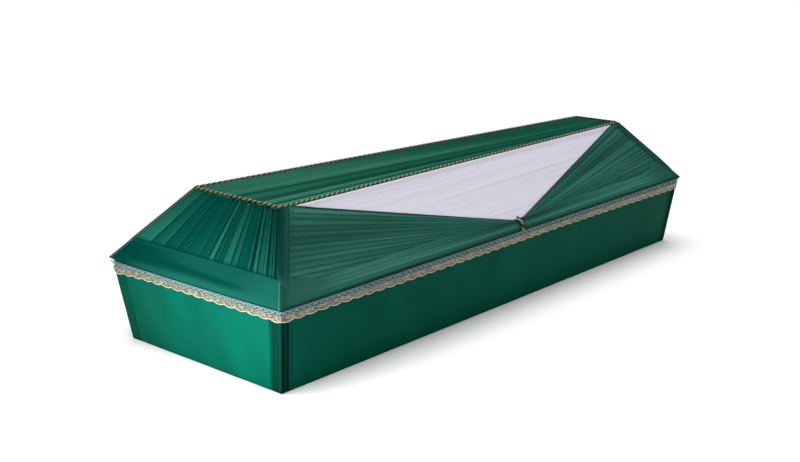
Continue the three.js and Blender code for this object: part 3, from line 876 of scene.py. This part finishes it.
# From the right edge to the left one
TOP_PLEATS = (
    (14, 2, 1.2, 30, 60, 75), (22, 3.2, 1, 30, 80, 95), (14, 1.2, 1.5, 40, 20, 10),
    (30, 3.2, 1, 25, 50, 85), (34, 1.2, 1.6, 30, 35, 10), (20, 2.6, 1, 30, 35, 55),
    (26, 2.6, 1, 25, 55, 50), (20, 1.4, 1.5, 30, 30, 20), (36, 3, 1, 20, 50, 80),
    (40, 2.6, 1.2, 20, 70, 60), (34, 2.2, 1, 25, 50, 58), (28, 2, 1, 25, 55, 50),
    (24, 1.6, 1.2, 30, 55, 50), (18, 1.2, 1, 30, 50, 50))


def top_cloth():
    at, proud, tone = pleat_column(TOP_PLEATS, 0.6 * MM)
    share = np.linspace(0, 1, 90)
    x = mix(-1, 1, share) * (LENGTH / 2 - TOP_END_INSET)
    slant = 0.06 - 0.24 * share
    across = 2 * np.clip(at + slant * arch(at), 0, 1) - 1
    y = across * (half_width(x) - TOP_SIDE_INSET)
    height = TOP_FACE + ease(1 - np.abs(across), 0.01, 0.08, 1.2 * MM, proud)
    drift = 0.06 * np.sin(6 * share + 8 * at)
    contrast = ease(share, 0.05, 0.35, 0.85, 1)
    # The folds' tones paint their light and shade, and the top is painted darker towards the foot, where
    # less light falls
    dim = ease(share, 0, 0.9)
    tones = (mix(0.68, tone + 0.1, contrast) + drift) * mix(1, 0.8, dim) - 0.15 * dim
    return shell(points(x, y, height), points(x, y, np.full_like(height, TOP_UNDERSIDE)), tones)


top_satin = piece("top_satin", [top_cloth()], [top_satin_painted_sheen], ["lid_top_cloth"])

# %% [markdown]
# ## Twisted cord
# Two plies wind round one line, half a turn apart. Each is a tube along a helix, so the gold and black
# bands come from its shape, as on the real cord. It frames the flat top, and short ends tie the swags.

# %% Cord helpers
LAY = 19.5 * MM
TIE_LAY = 34 * MM
PLY_RADIUS = 2 * MM
PLY_OFFSET = 1.65 * MM
TURN_STATIONS = 14


def normalised(vectors):
    return vectors / np.linalg.norm(vectors, axis=1, keepdims=True)


def tangents(line, closed):
    around = np.roll(line, -1, axis=0) - np.roll(line, 1, axis=0)
    return normalised(around if closed else np.gradient(line, axis=0))


def tube(centres, outward, radius, sides, closed):
    """A round skin along a line of centres. outward is any direction that isn't along the line."""
    tangent = tangents(centres, closed)
    normal = normalised(outward - tangent * np.einsum("ij,ij->i", outward, tangent)[:, None])
    angles = np.linspace(0, 2 * np.pi, sides, endpoint=False)[:, None]
    ring = np.cos(angles) * normal[:, None] + np.sin(angles) * np.cross(tangent, normal)[:, None]
    co = (centres[:, None] + radius * ring).reshape(-1, 3)
    uv = points(angles.T * radius, distances(centres)[:, None], 0)[..., :2]
    last = (len(centres) - 1) * sides
    # A closed tube's last ring joins its first, and an open tube has a cap at each end
    quads = grid_quads(len(centres) + closed, sides, True) % len(co)
    if not closed:
        cap = np.array([[0, k, k + 1, k + 2] for k in range(1, sides - 2, 2)])
        quads = np.concatenate([quads, cap[:, ::-1], cap + last])
    return co, quads, uv.reshape(-1, 2), 0.5


def twisted(line, up, closed, size=1, start_angle=0):
    """The two plies of a cord along a line, size times as thick as the cord round the top."""
    whole = np.vstack([line, line[:1]]) if closed else line
    walked = distances(whole)
    turns = round(walked[-1] / LAY) if closed else walked[-1] / TIE_LAY
    share = np.linspace(0, 1, int(turns * TURN_STATIONS), endpoint=not closed)[:, None]
    core = np.hstack([np.interp(share * walked[-1], walked, whole[:, k]) for k in range(3)])
    tangent = tangents(core, closed)
    side = normalised(np.cross(tangent, up))
    over = np.cross(side, tangent)
    angle = start_angle + 2 * np.pi * turns * share
    plies = []
    for ply, phase in enumerate((0, np.pi)):
        outward = np.cos(angle + phase) * side + np.sin(angle + phase) * over
        centres = core + size * PLY_OFFSET * outward
        plies.append((*tube(centres, outward, size * PLY_RADIUS, 8, closed), ply))
    return plies


# %% Cord round the top
def rounded_loop(corners, radius):
    """A closed line through the corners, each turned on an arc."""
    line = []
    for before, corner, after in zip(np.roll(corners, 1, axis=0), corners, np.roll(corners, -1, axis=0)):
        back, ahead = normalised(np.array([before - corner, after - corner]))
        for t in np.linspace(0, 1, 7):
            line.append(corner + radius * ((1 - t) ** 2 * back + t ** 2 * ahead))
    return np.array(line)


CORD_END_INSET = 0.168
# On the far long edge the cord sits a little further out, and lower
CORD_SIDE_INSET = {RIGHT: 0.1745, LEFT: 0.169}
CORD_HEIGHT = {RIGHT: 0.4358, LEFT: 0.4347}
cord_corners = []
for end, hand in CORNERS:
    x = end * (LENGTH / 2 - CORD_END_INSET)
    cord_corners.append(points(x, hand * (half_width(x) - CORD_SIDE_INSET[hand]), CORD_HEIGHT[hand]))
top_line = rounded_loop(np.array(cord_corners), 7 * MM)
top_cord = piece("top_twisted_cord", twisted(top_line, (0, 0, 1), True), [gold_ply, black_ply],
                 ["lid_top_cord"])

# %% Cords that tie the swags
# The route over the gathered cloth, as distance from the cord's middle in x, climb, and how proud
TIE_ROUTE = ((4, 0.160, 2.2), (0.5, 0.132, 7.5), (0, 0.098, 9.5), (-1, 0.067, 10.2), (-1, 0.034, 9.2),
             (0.5, 0.006, 5.5), (1.2, -0.012, 1.6))
TIE_SIZE = 1.6


def smooth_line(route, count):
    """A curve through the route's points."""
    knots = np.vstack([2 * route[0] - route[1], route, 2 * route[-1] - route[-2]])
    line = []
    for a, b, c, d in zip(knots, knots[1:], knots[2:], knots[3:]):
        for t in np.linspace(0, 1, count, endpoint=False):
            line.append(0.5 * (2 * b + (c - a) * t + (2 * a - 5 * b + 4 * c - d) * t ** 2
                               + (3 * b - a - 3 * c + d) * t ** 3))
    return np.vstack([line, route[-1:]])


for hand, name in HANDS:
    away, climb, proud = np.array(TIE_ROUTE).T
    route = on_side(hand, CORD_X + away * MM, climb, proud * MM)
    plies = twisted(smooth_line(route, 8), (1, 0, 0), False, TIE_SIZE, 2.6)
    piece(f"{name}_swag_tie", plies, [gold_ply, black_ply],
                            [f"{name}_tie_cord"])

# %% [markdown]
# ## Lace ribbon
# The ribbon is three bands in one: a pale diamond net, a gold woven band and a scalloped edge. It is
# made as strands swept along the tray, because the net's holes show the green cloth behind them. Every
# strand repeats with the 44 mm scallop.

# %% Lace
LACE_TOP = 0.2322
LACE_DIP = 5.4 * MM
LACE_UNIT = 44 * MM
NET_TOP, NET_BOTTOM, BAND_BOTTOM = 1 * MM, 14 * MM, 27.5 * MM
# How far the ribbon's lower edge hangs below its usual line, by place from head to foot
HANG_PLACES = [-1, -0.8, -0.55, -0.1, 0.25, 0.6, 1]
HANGS = [1, 0.99, 1.1, 1.04, 0.98, 1.06, 1.2]
LACE_CORNERS = np.array(tray_corners(TRAY_HEIGHT, -3 * MM))
LACE_SIDES = np.linalg.norm(np.roll(LACE_CORNERS, -1, axis=0) - LACE_CORNERS, axis=1)
LACE_STARTS = np.r_[0, LACE_SIDES.cumsum()]
LACE_LENGTH = LACE_STARTS[-1]
LACE_UNITS = 2 * round(LACE_LENGTH / LACE_UNIT / 2)


def lace_point(unit, drop, proud):
    """Places on the ribbon: scallops from its start, how far below its top edge, and how proud."""
    walked = unit / LACE_UNITS * LACE_LENGTH
    wall = np.searchsorted(LACE_STARTS, walked, side="right") - 1
    along = (walked - LACE_STARTS[wall]) / LACE_SIDES[wall]
    place = mix(LACE_CORNERS[wall, 0], LACE_CORNERS[(wall + 1) % 4, 0], along)
    # On both ends the ribbon dips with the hem band, and it is widest at the head's far corner
    dip = (wall == 0) * end_dip(along) + (wall == 2) * arch(along)
    dip = dip + (wall == 3) * np.exp((walked - LACE_LENGTH) / (60 * MM))
    far_corner = 0.3 * np.exp(-np.minimum(walked, LACE_LENGTH - walked) / (90 * MM))
    z = LACE_TOP - LACE_DIP * dip - drop * (np.interp(place, HANG_PLACES, HANGS) + far_corner - 0.12 * dip)
    # The ribbon stands off the tray's face, most at its free top edge
    stand_off = ease(drop, 0, 14 * MM, 4.8 * MM, 2.9 * MM)
    corners = tray_corners(z, -stand_off - proud)
    walls = [mix(corners[i], corners[(i + 1) % 4], along[:, None]) for i in range(4)]
    return np.choose(wall[:, None], walls)


def strand(drop_rule, per_unit, radius_mm, sides, finish, proud_mm=0):
    """A closed strand round the tray. drop_rule gives its drop for a place in units."""
    unit = np.arange(LACE_UNITS * per_unit) / per_unit
    drop = drop_rule(unit)
    centres = lace_point(unit, drop, proud_mm * MM)
    outward = lace_point(unit, drop, (proud_mm + 10) * MM) - centres
    return (*tube(centres, outward, radius_mm * MM, sides, True), finish)


def zigzag(unit):
    return np.abs(unit % 1 * 2 - 1)


def scallop(unit):
    return np.abs(arch(unit))


def woven_band():
    """The gold band, a closed ribbon with a raised leaf pattern and a wavy lower edge."""
    unit = np.arange(LACE_UNITS * 14) / 14
    row = np.arange(8)[:, None]
    leaf = np.cos(4 * np.pi * unit) * np.cos(2 * np.pi * (row - 3.5) / 7)
    drop = mix(NET_BOTTOM - 0.5 * MM, BAND_BOTTOM, row / 7) + 1.2 * MM * (scallop(unit) - 0.5) * (row == 7)
    face = lace_point(unit, drop, 0.3 * MM + 0.8 * MM * leaf)
    back = lace_point(unit, drop, -0.9 * MM)
    return (*shell(face, back, 0.5 + 0.35 * leaf, wrap=True), 1)


lace_parts = [
    strand(lambda unit: NET_TOP + 0.3 * MM * arch(4 * unit), 6, 0.9, 5, 0),
    strand(lambda unit: mix(NET_TOP, NET_BOTTOM, zigzag(unit)), 8, 1, 5, 0, 0.2),
    strand(lambda unit: mix(NET_BOTTOM, NET_TOP, zigzag(unit)), 8, 1, 5, 0, 0.6),
    strand(lambda unit: NET_BOTTOM - 7 * MM + 1.2 * MM * np.cos(4 * np.pi * unit), 12, 0.6, 5, 0),
    woven_band(),
    strand(lambda unit: BAND_BOTTOM - 0.3 * MM + 4.8 * MM * scallop(unit), 12, 1.3, 6, 2, 0.5),
    strand(lambda unit: BAND_BOTTOM - 0.3 * MM + 2 * MM * scallop(unit), 12, 1.2, 5, 1, 0.1),
]
lace_ribbon = piece("lace_ribbon", lace_parts, [pale_yarn, gold_yarn, edge_yarn],
                    ["lace_trim"])

# %% [markdown]
# ## What the cloths were before they were hung
# The pleated cloths were cut wider than the slope, because the folds take up the difference.

print("cloths made")

# %% [markdown]
# ## Floor and light
# A pale floor runs out past the picture's edge, and it also lights the flared tray from below. A wide
# soft light comes from above, and a softbox from the far side. A panel over the floor before the head
# end makes that end the bright one, and the long side stays in soft shade.

# %% Floor
FLOOR_REACH = 60
# The floor lies just under the tray, so that the two never share a plane
FLOOR_DROP = 0.6 * MM
floor_material, tree = new_material("pale painted floor")
set_shader(tree, Base_Color=linear("#e8e8e8"), Roughness=0.9, Specular_IOR_Level=0)
floor_mesh = bpy.data.meshes.new("floor")
floor_corners = [(x * FLOOR_REACH, y * FLOOR_REACH, -FLOOR_DROP) for x, y in CORNERS]
floor_mesh.from_pydata(floor_corners, [], [(0, 1, 2, 3)])
floor_mesh.materials.append(floor_material)
floor = add_object("floor", floor_mesh)
floor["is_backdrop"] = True

# %% Lights
def add_light(name, kind, place, target, **settings):
    data = bpy.data.lights.new(name, kind)
    for key, value in settings.items():
        setattr(data, key, value)
    light = add_object(name, data)
    light.location = place
    aim = np.subtract(target, place) / math.dist(target, place)
    light.rotation_euler = (math.acos(-aim[2]), 0, math.atan2(aim[0], -aim[1]))


add_light("overhead", "SUN", (0, 0, 5), (0.1, 0, 0), energy=3.75, angle=math.radians(60))
add_light("floor_panel", "AREA", (-1.75, -0.22, 0.41), (-1.75, -0.22, 0), energy=12, shape="RECTANGLE",
          size=1.3, size_y=0.9)
add_light("left_softbox", "AREA", (-2.2, 3, 2), (-0.6, 0, 0.3), energy=60, shape="RECTANGLE",
          size=1.4, size_y=1)
world = bpy.data.worlds.new("studio")
world.use_nodes = True
background = world.node_tree.nodes["Background"]
background.inputs["Color"].default_value = linear("#f2f4f8")
background.inputs["Strength"].default_value = 0.06
scene.world = world
scene.view_settings.view_transform = "Standard"
print("lights", bpy.data.lights.keys())

# %% Show the sizes
def plain(bounds):
    return [[float(v) for v in corner] for corner in bounds]


{"cad": plain(cad_bounds), "visual": plain(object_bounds())}
print("visual box", plain(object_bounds()))
